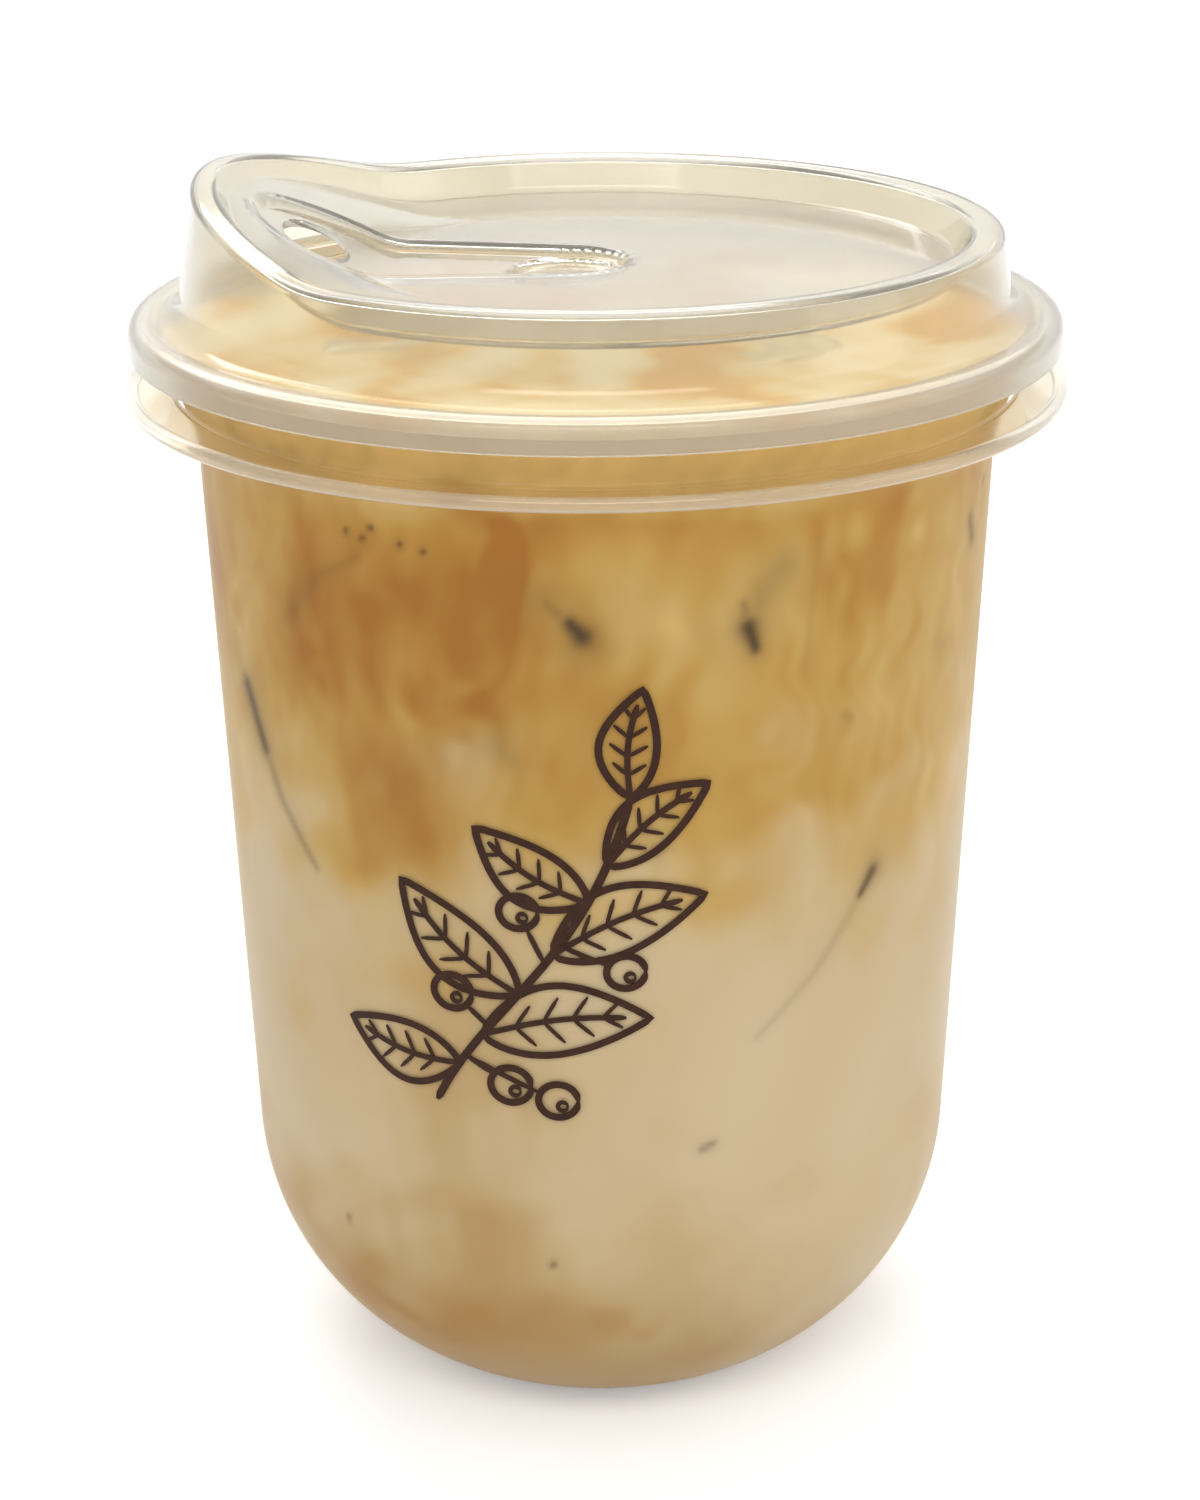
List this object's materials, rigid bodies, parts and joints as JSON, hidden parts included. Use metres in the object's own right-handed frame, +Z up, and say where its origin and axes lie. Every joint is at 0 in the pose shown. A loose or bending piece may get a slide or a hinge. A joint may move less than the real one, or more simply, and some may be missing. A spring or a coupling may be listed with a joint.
{
  "type": "iced milk coffee in a lidded cup",
  "caption": "Iced milk coffee filling a round-bottomed translucent takeaway cup with a clear drink-through lid that has a raised spout.",
  "frame": {"origin": "centre of the cup's foot, on the surface the cup stands on", "axes": "+Z up along the cup's axis; the lid's spout points towards -X, turned 4 degrees towards +Y"},
  "size_m": [0.096, 0.096, 0.129],
  "materials": {
    "cup": "frosted translucent moulded polypropylene",
    "lid": "clear glossy moulded polypropylene",
    "drink": "opaque milky liquid"
  },
  "bodies": {
    "root": {"cup": "cup", "lid": "lid", "drink": "drink"}
  },
  "joints": []
}
